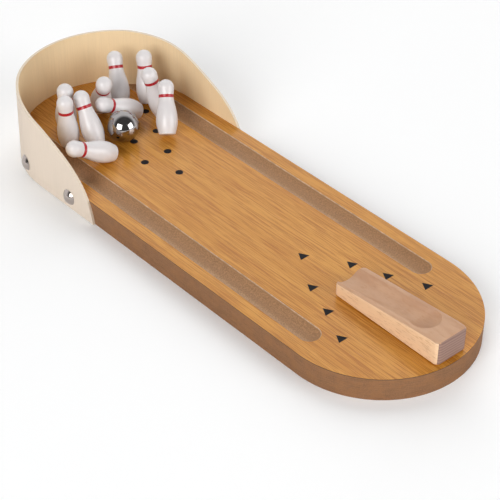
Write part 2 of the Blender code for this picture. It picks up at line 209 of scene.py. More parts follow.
class PinSettings(bpy.types.PropertyGroup):
    """Sizes and colours of the turned pins."""

    height: length("Height of a pin", 0.02970)
    base_radius: length("Radius of the flat base", 0.00453)
    base_round: length("Height of the base's chamfer", 0.0006)
    belly_radius: length("Widest radius", 0.00585)
    belly_height: length("Height of the widest place", 0.0073)
    neck_radius: length("Narrowest radius", 0.00403)
    neck_height: length("Height of the narrowest place", 0.0207)
    head_radius: length("Radius of the round head", 0.00444)
    band_height: length("Middle of the red band", 0.0206)
    band_width: length("Width of the red band", 0.0017)
    settle: length("How far a pin rests below the frame's, on the lane", 0.0002)
    lacquer: colour("White gloss lacquer", (0.740, 0.708, 0.708))
    enamel: colour("Red neck band", (0.430, 0.002, 0.012))


class BallSettings(bpy.types.PropertyGroup):
    """Size and colour of the rolling ball."""

    settle: length("How far the ball rests below the frame's, on the lane", 0.00025)
    steel: colour("Polished steel", (0.400, 0.378, 0.375))


class RampSettings(bpy.types.PropertyGroup):
    """Sizes and colours of the launch ramp."""

    length: length("Length of the block", 0.0676)
    width: length("Width of the block", 0.0196)
    low: length("Height at the low end", 0.0080)
    high: length("Height at the player's end", 0.0137)
    flat: length("Length of the level part", 0.0062)
    corner: length("Radius of the upright corners", 0.0028)
    turn: angle("How far askew the block stands", -1)
    trough_radius: length("Radius of the ball's trough", 0.0093)
    mouth_depth: length("Trough's depth at the low end", 0.0036)
    mouth_shift: length("How far left of the middle the trough ends", 0.0010)
    inner_depth: length("Trough's depth at the dish", 0.0028)
    dish_depth: length("Depth of the ball's rest", 0.0041)
    dish_setback: length("From the player's end to the dish", 0.0183)
    edge_round: length("Rounding of the sanded outer edges", 0.0018)
    rim_round: length("Rounding of the trough's rim", 0.0005)
    settle: length("How far the block rests below the frame's, on the lane", 0.0002)
    beech: colour("Long grain of the sides", (0.880, 0.600, 0.372))
    # The top is the same beech as the sides: its colour is partly a pinker tone of its own and partly
    # painted shade, darker for the weaker light on it
    blush: colour("Pinker tone of the top", (0.590, 0.358, 0.224))
    heart: colour("Darker patches of the top", (0.480, 0.262, 0.155))
    fleck: colour("Short rays in the wood", (0.450, 0.215, 0.090))
    end: colour("The sawn ends", (0.335, 0.205, 0.160))
    ring: colour("Growth rings on the end", (0.180, 0.098, 0.078))


class StageSettings(bpy.types.PropertyGroup):
    """Camera, lamps and ground."""

    azimuth: angle("Camera's heading, from +Y towards +X", 42.317)
    elevation: angle("Camera's height above the horizon", 38.113)
    roll: angle("Camera's turn about its own axis", 0.667)
    lens: number("Focal length on a 36 mm sensor", 112.83, "CAMERA")
    place: bpy.props.FloatVectorProperty(
        description="Where the camera stands", default=(-0.4243, -0.4763, 0.4881),
        size=3, subtype="TRANSLATION", unit="LENGTH",
    )
    ground: colour("Pale floor", (0.940, 0.942, 0.944))
    dome: number("Strength of the soft sky", 0.15)
    left_lamp: number("Power of the softbox on the left", 69.0, "POWER")
    front_lamp: number("Power of the softbox at the player's end", 43.0, "POWER")
    back_lamp: number("Power of the soft light behind the pins", 72.0, "POWER")


SETTINGS = {
    "bowling_board": BoardSettings,
    "bowling_backstop": BackstopSettings,
    "bowling_pins": PinSettings,
    "bowling_ball": BallSettings,
    "bowling_ramp": RampSettings,
    "bowling_stage": StageSettings,
}


class Value:
    """A socket in a material, so that shader maths reads as plain sums."""

    def __init__(self, paint, socket):
        self.paint = paint
        self.socket = socket

    def math(self, operation, *others):
        links = dict(enumerate((self, *others)))
        return self.paint.node("ShaderNodeMath", {"operation": operation}, links).out()

    def reflected(self, operation, other):
        links = {0: other, 1: self}
        return self.paint.node("ShaderNodeMath", {"operation": operation}, links).out()

    def __add__(self, other):
        return self.math("ADD", other)

    __radd__ = __add__

    def __sub__(self, other):
        return self.math("SUBTRACT", other)

    def __rsub__(self, other):
        return self.reflected("SUBTRACT", other)

    def __mul__(self, other):
        return self.math("MULTIPLY", other)

    __rmul__ = __mul__


class Made:
    """A node that was just made, and its outputs."""

    def __init__(self, paint, node):
        self.paint = paint
        self.node = node

    def out(self, name=0):
        return Value(self.paint, self.node.outputs[name])


class Paint:
    """One material while it is put together."""

    def __init__(self, name, base, roughness, **constants):
        self.material = bpy.data.materials.new(name)
        self.material.use_nodes = True
        self.tree = self.material.node_tree
        self.shader = self.tree.nodes["Principled BSDF"]
        self.set("Base Color", base)
        self.set("Roughness", roughness)
        for socket, value in constants.items():
            self.set(socket.replace("_", " "), value)
        self.place = self.node("ShaderNodeTexCoord", {}, {}).out("Object")

    def plug(self, socket, value):
        if isinstance(value, Value):
            self.tree.links.new(value.socket, socket)
        elif socket.type == "RGBA" and len(value) == 3:
            socket.default_value = (*value, 1)
        else:
            socket.default_value = value

    def set(self, name, value):
        self.plug(self.shader.inputs[name], value)

    def node(self, kind, settings, inputs):
        node = self.tree.nodes.new(kind)
        for name, value in settings.items():
            setattr(node, name, value)
        for name, value in inputs.items():
            self.plug(node.inputs[name], value)
        return Made(self, node)

    def axis(self, name):
        """The place along one axis of the object."""
        return self.node("ShaderNodeSeparateXYZ", {}, {"Vector": self.place}).out(name)

    def noise(self, stretch, scale, detail=3, rough=0.5, turn=0.0, shift=(0, 0, 0)):
        """Noise from 0 to 1 that is drawn out where stretch is small."""
        mapping = {"Vector": self.place, "Location": shift, "Rotation": (0, 0, turn), "Scale": stretch}
        mapped = self.node("ShaderNodeMapping", {}, mapping).out()
        inputs = {"Vector": mapped, "Scale": scale, "Detail": detail, "Roughness": rough}
        return self.node("ShaderNodeTexNoise", {}, inputs).out("Fac")

    def between(self, value, low, high):
        """0 below low, 1 above high and smooth between them."""
        inputs = {"Value": value, "From Min": low, "From Max": high}
        return self.node("ShaderNodeMapRange", {"interpolation_type": "SMOOTHSTEP"}, inputs).out("Result")

    def mix(self, share, first, second):
        made = self.node("ShaderNodeMix", {"data_type": "RGBA"}, {})
        for name, value in (("Factor_Float", share), ("A_Color", first), ("B_Color", second)):
            self.plug(next(s for s in made.node.inputs if s.identifier == name), value)
        colours = [s for s in made.node.outputs if s.identifier == "Result_Color"]
        return Value(self, colours[0])

    def coat(self, base, roughness, relief=None, depth=0):
        """Plugs in what changes over the surface and gives the material."""
        self.set("Base Color", base)
        self.set("Roughness", roughness)
        if relief is not None:
            inputs = {"Height": relief, "Distance": depth, "Strength": 1.0}
            self.set("Normal", self.node("ShaderNodeBump", {}, inputs).out())
        return self.material


def tinted(shade, share):
    """A colour times a share of its brightness."""
    return tuple(min(channel * share, 1) for channel in shade)


def fibreboard_edge(sizes):
    """Raw fibreboard: fine pale and dark fibres pressed in thin layers."""
    paint = Paint("fibreboard_edge", sizes.fibreboard, 0.82, Specular_IOR_Level=0.2)
    specks = paint.noise((1, 1, 1.6), 2600, detail=2, rough=0.6)
    layers = paint.noise((0.15, 0.15, 3.2), 900, detail=3)
    clouds = paint.noise((1, 1, 1.5), 130, detail=4, rough=0.6)
    saw = paint.noise((1, 1, 0.06), 1700, detail=2)
    share = paint.between(specks, 0.35, 0.7) * 0.45 + paint.between(layers, 0.3, 0.7) * 0.3 + saw * 0.25
    dark, pale = tinted(sizes.fibreboard, 0.62), tinted(sizes.fibreboard, 1.42)
    warm = paint.between(clouds, 0.45, 0.62) * 0.35
    base = paint.mix(warm, paint.mix(share, dark, pale), sizes.rust)
    return paint.coat(base, 0.76 + specks * 0.16, specks + saw * 0.6, 0.00006)


def fibreboard_groove(sizes):
    """The milled gutter: felted fibres, a little lighter than the edge."""
    paint = Paint("fibreboard_groove", sizes.groove, 0.5, Specular_IOR_Level=0.35)
    specks = paint.noise((1, 0.6, 1), 2000, detail=3, rough=0.65)
    clouds = paint.noise((1, 0.5, 1), 160, detail=4, rough=0.6)
    across = paint.axis("X")
    from_middle = across - across.math("SIGN") * sizes.gutter_offset
    # Painted sheen: a lighter speckled band up each gutter's left flank, where that flank catches the light
    painted_sheen_band = paint.between(from_middle * -1, 0.0004, 0.0038) * paint.between(specks, 0.36, 0.58)
    passes = paint.noise((3.0, 0.05, 3.0), 420, detail=2)
    share = paint.between(specks, 0.38, 0.64) * 0.60 + clouds * 0.2 + passes * 0.25
    dark, pale = tinted(sizes.groove, 0.62), tinted(sizes.groove, 1.38)
    base = paint.mix(painted_sheen_band * 0.5, paint.mix(share, dark, pale), sizes.dust)
    return paint.coat(base, 0.44 + clouds * 0.2, specks * 0.6 + passes * 0.4, 0.00002)


def printed_strips(sizes):
    """Bamboo print under satin varnish: long fine streaks and short flames."""
    paint = Paint("printed_strips", sizes.honey, 0.24, Specular_IOR_Level=0.6)
    clouds = paint.noise((1, 0.2, 1), 45, detail=2)
    strips = paint.noise((1, 0.02, 1), 190, detail=2, rough=0.5, turn=0.004)
    flames = paint.noise((1, 0.045, 1), 560, detail=3, rough=0.6, turn=0.008, shift=(0.3, 0.1, 0))
    dashes = paint.noise((1, 0.026, 1), 1500, detail=2, rough=0.55, turn=-0.004)
    hair = paint.noise((1, 0.016, 1), 2500, detail=2, rough=0.6, turn=0.003)
    tone = paint.between(strips * 0.6 + clouds * 0.4, 0.40, 0.62)
    base = paint.mix(tone, sizes.honey, sizes.straw)
    base = paint.mix(paint.between(flames, 0.56, 0.64) * 0.40, base, sizes.toffee)
    base = paint.mix(paint.between(dashes, 0.545, 0.59) * 0.62, base, sizes.toffee)
    base = paint.mix(paint.between(hair, 0.535, 0.59) * 0.70, base, tinted(sizes.toffee, 0.9))
    return paint.coat(base, 0.20 + dashes * 0.10, dashes * 0.5 + hair * 0.5, 0.00001)


def veneer_edge(name, shade, core, sizes):
    """The printed layer's cut edge: a nicked line of its own colour over the core's."""
    paint = Paint(name, shade, 0.6, Specular_IOR_Level=0.2)
    nicks = paint.noise((1, 0.6, 0.4), 900, detail=3, rough=0.6)
    height = paint.axis("Z")
    line = paint.mix(paint.between(nicks, 0.35, 0.7), tinted(shade, 0.62), shade)
    level = sizes.top - sizes.skin
    base = paint.mix(paint.between(height, level - sizes.skin / 3, level), core, line)
    return paint.coat(base, 0.55 + nicks * 0.2)


def printing_ink(sizes):
    """Black ink, a little thin in places."""
    paint = Paint("printing_ink", sizes.ink, 0.5, Specular_IOR_Level=0.12)
    thin = paint.noise(EVEN, 3200, detail=3, rough=0.7)
    share = paint.between(thin, 0.55, 0.85) * 0.5
    base = paint.mix(share, sizes.ink, tinted(sizes.ink, 3.2))
    return paint.coat(base, 0.46 + thin * 0.16)


def bent_veneer(name, shade, depth):
    """Thin bent sheet: fine upright lines, with broad faint bands."""
    paint = Paint(name, shade, 0.62, Specular_IOR_Level=0.35)
    lines = paint.noise((1, 1, 0.03), 1500, detail=2, rough=0.55)
    cords = paint.noise((1, 1, 0.02), 620, detail=2, rough=0.5, turn=0, shift=(0.2, 0.4, 0))
    bands = paint.noise((1, 1, 0.25), 55, detail=3)
    dust = paint.noise((1, 1, 0.5), 2400, detail=2)
    share = paint.between(lines, 0.32, 0.68) * 0.45 + cords * 0.35 + bands * 0.25 + dust * 0.1
    base = paint.mix(share, tinted(shade, 1 - depth), tinted(shade, 1 + depth * 0.8))
    return paint.coat(base, 0.56 + cords * 0.14, lines + cords * 0.7, 0.00004)


def long_grain(name, shade, patch, fleck, amount):
    """Sanded beech along the grain: soft figure and short dark rays."""
    paint = Paint(name, shade, 0.5, Specular_IOR_Level=0.4)
    figure = paint.noise((1, 0.3, 1), 130, detail=4, rough=0.6, turn=0.05, shift=(0.02, 0.04, 0))
    rays = paint.noise((1, 0.16, 1), 1350, detail=2, rough=0.5, turn=-0.01)
    pores = paint.noise((1, 0.05, 1), 2800, detail=2)
    base = paint.mix(paint.between(figure, 0.40, 0.66) * 0.7, shade, patch)
    base = paint.mix(paint.between(rays, 0.54, 0.68) * amount, base, fleck)
    base = paint.mix(paint.between(pores, 0.5, 0.75) * 0.22, base, tinted(fleck, 1.3))
    return paint.coat(base, 0.44 + figure * 0.14, pores * 0.6 + rays * 0.4, 0.00002)


def end_grain(sizes):
    """The block's ends: growth rings cut across, lying nearly level."""
    paint = Paint("beech_end_grain", sizes.end, 0.62, Specular_IOR_Level=0.3)
    sway = paint.noise(EVEN, 120, detail=2)
    phase = paint.axis("Z") * 4000 + paint.axis("X") * 190 + sway * 4.0
    rings = phase.math("SINE") * 0.5 + 0.5
    specks = paint.noise(EVEN, 3200, detail=2, rough=0.7)
    base = paint.mix(paint.between(rings, 0.2, 0.95) * 0.6, sizes.end, sizes.ring)
    base = paint.mix(paint.between(specks, 0.55, 0.8) * 0.35, base, tinted(sizes.ring, 0.7))
    return paint.coat(base, 0.58 + specks * 0.14, rings * 0.4 + specks * 0.6, 0.00004)


def gloss_lacquer(name, shade):
    """Sprayed lacquer over turned wood: soft ripple, dust and a clear gloss."""
    paint = Paint(name, shade, 0.34, Coat_Weight=0.3, Coat_Roughness=0.2)
    ripple = paint.noise(EVEN, 330, detail=2)
    dust = paint.noise(EVEN, 3400, detail=2, rough=0.7)
    tone = paint.between(ripple, 0.3, 0.7)
    base = paint.mix(tone * 0.7, tinted(shade, 0.975), tinted(shade, 1.02))
    return paint.coat(base, 0.32 + paint.between(dust, 0.5, 0.8) * 0.12, ripple * 0.8 + dust * 0.1, 0.00005)


def bright_metal(name, shade, roughness, smudge):
    """Polished metal with faint handling marks."""
    paint = Paint(name, shade, roughness, Metallic=1.0)
    marks = paint.noise(EVEN, 210, detail=4, rough=0.6)
    hairs = paint.noise((1, 0.1, 1), 3600, detail=2, rough=0.5, turn=0.6)
    base = paint.mix(paint.between(marks, 0.4, 0.8) * 0.5, shade, tinted(shade, 0.9))
    dull = paint.between(marks, 0.45, 0.75) * smudge + hairs * smudge * 0.4
    return paint.coat(base, roughness + dull)


def pale_ground(sizes):
    """White studio floor that keeps the object's shadow."""
    paint = Paint("pale_ground", sizes.ground, 0.9, Specular_IOR_Level=0.0)
    seen = paint.node("ShaderNodeLightPath", {}, {})
    lift = seen.out("Is Camera Ray").math("MAXIMUM", seen.out("Is Glossy Ray"))
    lift = lift.math("MAXIMUM", seen.out("Is Transmission Ray"))
    grain = paint.noise(EVEN, 40, detail=2)
    paint.set("Base Color", paint.mix(grain, tinted(sizes.ground, 0.995), sizes.ground))
    glow = paint.node("ShaderNodeEmission", {}, {"Color": (1, 1, 1), "Strength": lift * GROUND_GLOW}).out()
    both = paint.node("ShaderNodeAddShader", {}, {}).node
    surface = paint.tree.nodes["Material Output"].inputs["Surface"]
    paint.tree.links.new(paint.shader.outputs["BSDF"], both.inputs[0])
    paint.tree.links.new(glow.socket, both.inputs[1])
    paint.tree.links.new(both.outputs[0], surface)
    return paint.material


def start_clean():
    if bpy.context.mode != "OBJECT":
        bpy.ops.object.mode_set(mode="OBJECT")
    bpy.ops.object.select_all(action="DESELECT")


def select_whole():
    bpy.ops.mesh.select_all(action="SELECT")


def take(obj):
    """Selects this object alone and makes it the active one."""
    bpy.ops.object.select_all(action="DESELECT")
    obj.select_set(True)
    bpy.context.view_layer.objects.active = obj


def place_in_mesh(obj):
    take(obj)
    bpy.ops.object.transform_apply(location=True, rotation=True, scale=True)


def editing(obj, on=True):
    bpy.context.view_layer.objects.active = obj
    bpy.ops.object.mode_set(mode="EDIT" if on else "OBJECT")


def leave_closed(obj):
    """From edit mode: turns all faces outwards and goes back to object mode."""
    select_whole()
    bpy.ops.mesh.normals_make_consistent(inside=False)
    editing(obj, False)


def raise_slab(obj, height):
    """From edit mode: draws the flat face up into a slab and leaves it closed."""
    select_whole()
    bpy.ops.mesh.extrude_region_move(TRANSFORM_OT_translate={"value": (0, 0, height)})
    leave_closed(obj)


def draw_apart(obj, near, far):
    """Moves the half below y = 0 by near and the half above by far, and stays in edit mode."""
    editing(obj)
    pick(obj, "VERT", lambda v: v.co.y > 0)
    bpy.ops.transform.translate(value=(0, far, 0))
    pick(obj, "VERT", lambda v: v.co.y < 0)
    bpy.ops.transform.translate(value=(0, near, 0))


def pick(obj, kind, test):
    """In edit mode, selects only the vertices, edges or faces that pass test."""
    bpy.ops.mesh.select_mode(type=kind)
    bpy.ops.mesh.select_all(action="DESELECT")
    shape = bmesh.from_edit_mesh(obj.data)
    items = {"VERT": shape.verts, "EDGE": shape.edges, "FACE": shape.faces}[kind]
    found = [item for item in items if test(item)]
    for item in found:
        item.select_set(True)
    shape.select_flush_mode()
    bmesh.update_edit_mesh(obj.data)
    if not found:
        raise RuntimeError("nothing to select on " + obj.name)


def finish_modifier(obj, kind, **settings):
    """Adds a modifier, sets it and applies it."""
    take(obj)
    modifier = obj.modifiers.new(kind.lower(), kind)
    for name, value in settings.items():
        setattr(modifier, name, value)
    bpy.ops.object.modifier_apply(modifier=modifier.name)


def cut(obj, cutter, operation="DIFFERENCE"):
    finish_modifier(obj, "BOOLEAN", operation=operation, solver="EXACT", object=cutter)
    bpy.data.objects.remove(cutter)


def soften(obj, width, segments, limit):
    """Rounds what is sharper than the limit and shades the rest smooth."""
    place_in_mesh(obj)
    bpy.ops.object.shade_smooth_by_angle(angle=math.radians(limit))
    finish_modifier(
        obj, "BEVEL", width=width, segments=segments, limit_method="ANGLE",
        angle_limit=math.radians(limit), harden_normals=True, miter_outer="MITER_ARC",
    )


def finished(obj, name, body, slot, materials, *nodes):
    obj.name = name
    obj.data.name = name
    place_in_mesh(obj)
    if not obj.data.materials:
        for material in materials:
            obj.data.materials.append(material)
    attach(obj, body)
    if nodes:
        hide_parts(*nodes)
    return obj


def coat_faces(obj, materials, choose):
    """Gives each face the material whose number choose returns."""
    obj.data.materials.clear()
    for material in materials:
        obj.data.materials.append(material)
    for face in obj.data.polygons:
        face.material_index = choose(face)


def stadium_slab(name, half_width, bend_centre, low, high):
    """Straight-sided slab with two half-round ends, drawn from a circle."""
    bpy.ops.mesh.primitive_circle_add(
        vertices=BOARD_SIDES, radius=half_width, fill_type="NGON",
        location=(0, 0, low), rotation=(0, 0, math.pi / BOARD_SIDES),
    )
    slab = bpy.context.object
    slab.name = name
    place_in_mesh(slab)
    draw_apart(slab, -bend_centre, bend_centre)
    raise_slab(slab, high - low)
    return slab


def capsule(radius, near, far, segments):
    """Round-ended milling path along Y, from the nose centre near to far."""
    bpy.ops.mesh.primitive_uv_sphere_add(
        segments=segments, ring_count=segments // 2 - 1, radius=radius, rotation=(math.pi / 2, 0, 0)
    )
    path = bpy.context.object
    place_in_mesh(path)
    draw_apart(path, near, far)
    editing(path, False)
    return path


def gutter_paths(sizes):
    half_chord = math.sqrt(sizes.gutter_radius**2 - (sizes.gutter_radius - sizes.gutter_depth) ** 2)
    board_end = sizes.bend_centre + sizes.half_width
    nose = -board_end + sizes.gutter_margin + half_chord
    for sign in (-1, 1):
        path = capsule(sizes.gutter_radius, nose, board_end + 2 * sizes.gutter_radius, GUTTER_SIDES)
        path.location = (sign * sizes.gutter_offset, 0, sizes.top - sizes.gutter_depth + sizes.gutter_radius)
        place_in_mesh(path)
        yield path


class Piece:
    """What every operator here does round its own build."""

    def execute(self, context):
        start_clean()
        self.build(context.scene)
        return {"FINISHED"}


class BOWLING_OT_board(Piece, bpy.types.Operator):
    """Build the fibreboard core with its milled gutters"""

    bl_idname = "bowling.board"
    bl_label = "Board core"

    def build(self, scene):
        sizes = scene.bowling_board
        seam = sizes.top - sizes.veneer
        core = stadium_slab("fibreboard_core", sizes.half_width, sizes.bend_centre, BOARD_LOW.z, seam)
        for path in gutter_paths(sizes):
            cut(core, path)
        soften(core, sizes.edge_round, segments=2, limit=60)
        side = sizes.half_width - 2 * sizes.edge_round

        def finish_of(face):
            from_axis = Vector((face.center.x, max(abs(face.center.y) - sizes.bend_centre, 0)))
            on_groove = face.center.z > sizes.top / 2 and face.center.z < seam - sizes.edge_round / 4
            return 1 if on_groove and from_axis.length < side else 0

        coat_faces(core, (fibreboard_edge(sizes), fibreboard_groove(sizes)), finish_of)
        finished(core, "fibreboard_core", "lane", "core_board", (), "board_core")


class BOWLING_OT_lane(Piece, bpy.types.Operator):
    """Build the printed lane surface and its spots and arrows"""

    bl_idname = "bowling.lane"
    bl_label = "Printed lane"

    def build(self, scene):
        sizes = scene.bowling_board
        seam = sizes.top - sizes.veneer
        lane = stadium_slab("printed_lane", sizes.half_width, sizes.bend_centre, seam, sizes.top)
        for path in gutter_paths(sizes):
            cut(lane, path)
        soften(lane, sizes.edge_round / 2, segments=2, limit=40)
        outer_side = sizes.half_width - sizes.edge_round

        def finish_of(face):
            if face.normal.z > TOP_FACING:
                return 0
            along = max(abs(face.center.y) - sizes.bend_centre, 0)
            return 1 if Vector((face.center.x, along)).length < outer_side else 2

        materials = (
            printed_strips(sizes),
            veneer_edge("gutter_lip", sizes.lip, sizes.groove, sizes),
            veneer_edge("sealed_rim", sizes.rim, sizes.fibreboard, sizes),
        )
        coat_faces(lane, materials, finish_of)
        finished(lane, "printed_lane", "lane", "lane_print", (), "lane_veneer")
        self.print_marks(sizes)

    def print_marks(self, sizes):
        marks = []
        for row in SPOT_ROWS:
            for place in range(row):
                x = (place - (row - 1) / 2) * sizes.spot_pitch
                y = sizes.first_row + (row - 1) * sizes.row_pitch
                marks.append(self.flat_shape(sizes, SPOT_SIDES, sizes.spot_radius, (x, y)))
        for x, y in ARROW_TIPS:
            arrow = self.flat_shape(sizes, 3, 1.0, (0, 0))
            # With three sides and radius 1 it is sqrt(3) wide and 1.5 long
            stretch = sizes.arrow_length / 1.5
            arrow.scale = (sizes.arrow_width / math.sqrt(3), stretch, 1)
            arrow.location = (x, y - stretch, 0)
            place_in_mesh(arrow)
            marks.append(arrow)
        bpy.ops.object.select_all(action="DESELECT")
        for mark in marks:
            mark.select_set(True)
        bpy.context.view_layer.objects.active = marks[0]
        bpy.ops.object.join()
        finished(marks[0], "lane_marks", "lane", "lane_print", (printing_ink(sizes),))

    def flat_shape(self, sizes, sides, radius, centre):
        """A many-sided or three-sided patch of ink whose first corner faces the pins."""
        bpy.ops.mesh.primitive_circle_add(
            vertices=sides, radius=radius, fill_type="NGON", location=(*centre, sizes.top - sizes.ink_rise)
        )
        patch = bpy.context.object
        place_in_mesh(patch)
        editing(patch)
        raise_slab(patch, 2 * sizes.ink_rise)
        return patch


class BOWLING_OT_backstop(Piece, bpy.types.Operator):
    """Bend the backstop sheet round the pin end and trim its free edge"""

    bl_idname = "bowling.backstop"
    bl_label = "Backstop"

    def build(self, scene):
        sizes = scene.bowling_backstop
        board = scene.bowling_board
        centre_y = board.bend_centre
        inner = board.half_width + sizes.joint_gap
        outer = WALL_HIGH.x
        sheet = self.bent_sheet(sizes, inner, centre_y)
        finish_modifier(sheet, "SOLIDIFY", thickness=outer - inner, offset=1, use_even_offset=True)
        cut(sheet, self.trimmed_side(sizes, outer, centre_y), "INTERSECT")
        soften(sheet, board.edge_round, segments=2, limit=50)

        def finish_of(face):
            outward = Vector((face.center.x, max(face.center.y - centre_y, 0), 0)).normalized()
            facing = face.normal.dot(outward)
            return 0 if facing > WALL_FACING else 1 if facing < -WALL_FACING else 2

        materials = (
            bent_veneer("backstop_outside", sizes.outside, depth=0.03),
            # Same sheet as the outside, with painted warm bounce light from the lane in its colour
            bent_veneer("backstop_inside", sizes.inside, depth=0.05),
            bent_veneer("backstop_cut_edge", sizes.cut_edge, depth=0.10),
        )
        coat_faces(sheet, materials, finish_of)
        finished(sheet, "backstop_sheet", "lane", "bent_veneer", (), "backstop_wall")

    def bent_sheet(self, sizes, radius, centre_y):
        """Half a circle and two arms, raised and closed in towards the top."""
        bpy.ops.mesh.primitive_circle_add(
            vertices=WALL_SIDES, radius=radius, fill_type="NOTHING", location=(0, centre_y, 0)
        )
        sheet = bpy.context.object
        sheet.name = "backstop_sheet"
        place_in_mesh(sheet)
        overrun = sizes.height / 10
        rise = sizes.height + overrun
        editing(sheet)
        pick(sheet, "VERT", lambda v: v.co.y < centre_y - PICK_SLACK)
        bpy.ops.mesh.delete(type="VERT")
        pick(sheet, "VERT", lambda v: v.co.y < centre_y + PICK_SLACK)
        bpy.ops.mesh.extrude_vertices_move(TRANSFORM_OT_translate={"value": (0, -sizes.reach, 0)})
        bpy.ops.mesh.select_mode(type="EDGE")
        select_whole()
        bpy.ops.mesh.extrude_edges_move(TRANSFORM_OT_translate={"value": (0, 0, rise)})
        shrink = 1 - sizes.lean_in * rise / sizes.height / radius
        pick(sheet, "VERT", lambda v: v.co.z > rise / 2)
        bpy.ops.transform.resize(value=(shrink, 1, 1), center_override=(0, centre_y, 0))
        pick(sheet, "VERT", lambda v: v.co.z > rise / 2 and v.co.y > centre_y)
        bpy.ops.transform.resize(value=(1, shrink, 1), center_override=(0, centre_y, 0))
        select_whole()
        bpy.ops.mesh.normals_make_consistent(inside=False)
        shape = bmesh.from_edit_mesh(sheet.data)
        shape.faces.ensure_lookup_table()
        rear = max(shape.faces, key=lambda face: face.calc_center_median().y)
        if rear.normal.y < 0:
            bpy.ops.mesh.flip_normals()
        editing(sheet, False)
        return sheet

    def trimmed_side(self, sizes, outer, centre_y):
        """What is kept of the sheet, seen from the side: high behind, swept to the foot."""
        half = outer * 1.1
        edge = [(reach * sizes.reach, height * sizes.height) for reach, height in WALL_EDGE_SHARES]
        outline = [(-half, sizes.foot), (sizes.reach, sizes.foot)] + edge[::-1] + [(-half, sizes.height)]
        bpy.ops.curve.primitive_bezier_curve_add()
        drawn = bpy.context.object
        curve = drawn.data
        curve.dimensions = "2D"
        curve.fill_mode = "BOTH"
        curve.extrude = half
        spline = curve.splines[0]
        spline.bezier_points.add(len(outline) - 2)
        spline.use_cyclic_u = True
        spline.resolution_u = TRIM_STEPS
        for index, (spot, (reach, height)) in enumerate(zip(spline.bezier_points, outline)):
            spot.co = (reach, height, 0)
            kind = "AUTO" if 2 <= index < 1 + len(edge) else "VECTOR"
            spot.handle_left_type = spot.handle_right_type = kind
        bpy.ops.object.convert(target="MESH")
        keeper = bpy.context.object
        editing(keeper)
        select_whole()
        bpy.ops.mesh.remove_doubles(threshold=PICK_SLACK / 12)
        leave_closed(keeper)
        turned = Matrix(((0, 0, -1), (-1, 0, 0), (0, 1, 0))).to_4x4()
        keeper.matrix_world = Matrix.Translation((0, centre_y, 0)) @ turned
        place_in_mesh(keeper)
        return keeper


def lathed(name, rings, sides, tip=True):
    """Turned shape: a disc drawn up ring by ring, (radius, height) from below."""
    (radius, low), rest = rings[0], rings[1:]
    bpy.ops.mesh.primitive_circle_add(vertices=sides, radius=radius, fill_type="NGON", location=(0, 0, low))
    shape = bpy.context.object
    shape.name = name
    place_in_mesh(shape)
    editing(shape)
    bpy.ops.mesh.select_mode(type="FACE")
    select_whole()
    for next_radius, height in rest:
        bpy.ops.mesh.extrude_region_move(TRANSFORM_OT_translate={"value": (0, 0, height - low)})
        share = next_radius / radius
        bpy.ops.transform.resize(value=(share, share, 1), center_override=(0, 0, height))
        radius, low = next_radius, height
    if tip:
        bpy.ops.mesh.merge(type="CENTER")
    leave_closed(shape)
    return shape


def copy_of(obj, name):
    twin = obj.copy()
    twin.data = obj.data.copy()
    twin.name = twin.data.name = name
    bpy.context.scene.collection.objects.link(twin)
    return twin


class BOWLING_OT_nails(Piece, bpy.types.Operator):
    """Turn one domed nail and copy it to its five seats"""

    bl_idname = "bowling.nails"
    bl_label = "Nails"

    def build(self, scene):
        sizes = scene.bowling_backstop
        centre_y = scene.bowling_board.bend_centre
        sphere = (sizes.nail_radius**2 + sizes.nail_rise**2) / (2 * sizes.nail_rise)
        spread = math.asin(sizes.nail_radius / sphere)
        rings = [(sizes.nail_radius * 0.93, 0)]
        for step in range(DOME_STEPS):
            bend = spread * (1 - step / DOME_STEPS)
            rings.append((sphere * math.sin(bend), sizes.nail_rise - sphere * (1 - math.cos(bend))))
        rings[1] = (rings[1][0], sizes.nail_rise * 0.04)
        nail = lathed("nail", rings, NAIL_SIDES)
        place_in_mesh(nail)
        bpy.ops.object.shade_smooth_by_angle(angle=math.radians(60))
        nickel = bright_metal("bright_nickel", sizes.nickel, roughness=0.08, smudge=0.05)
        radius = WALL_HIGH.x - sizes.lean_in * sizes.nail_height / sizes.height
        for side, sign in (("left", -1), ("right", 1)):
            seat = Vector((sign * radius, centre_y - sizes.nail_reach, sizes.nail_height))
            self.drive(nail, "front_" + side, seat, Vector((sign, 0, 0)), nickel)
            outward = Vector((sign * math.cos(sizes.nail_angle), math.sin(sizes.nail_angle), 0))
            seat = Vector((0, centre_y, sizes.nail_height)) + radius * outward
            self.drive(nail, "rear_" + side, seat, outward, nickel)
        seat = Vector((0, centre_y + radius, sizes.nail_height))
        self.drive(nail, "back", seat, Vector((0, 1, 0)), nickel)
        bpy.data.objects.remove(nail)

    def drive(self, nail, where, seat, outward, nickel):
        head = copy_of(nail, "nail_head_" + where)
        facing = outward.to_track_quat("Z", "Y").to_matrix().to_4x4()
        head.matrix_world = Matrix.Translation(seat) @ facing
        finished(head, "nail_head_" + where, "lane", "nail_metal", (nickel,), "wall_nail_" + where)


def eased(low, high, share):
    """From low to high and level at both ends."""
    return low + (high - low) * (1 - math.cos(math.pi * share)) / 2


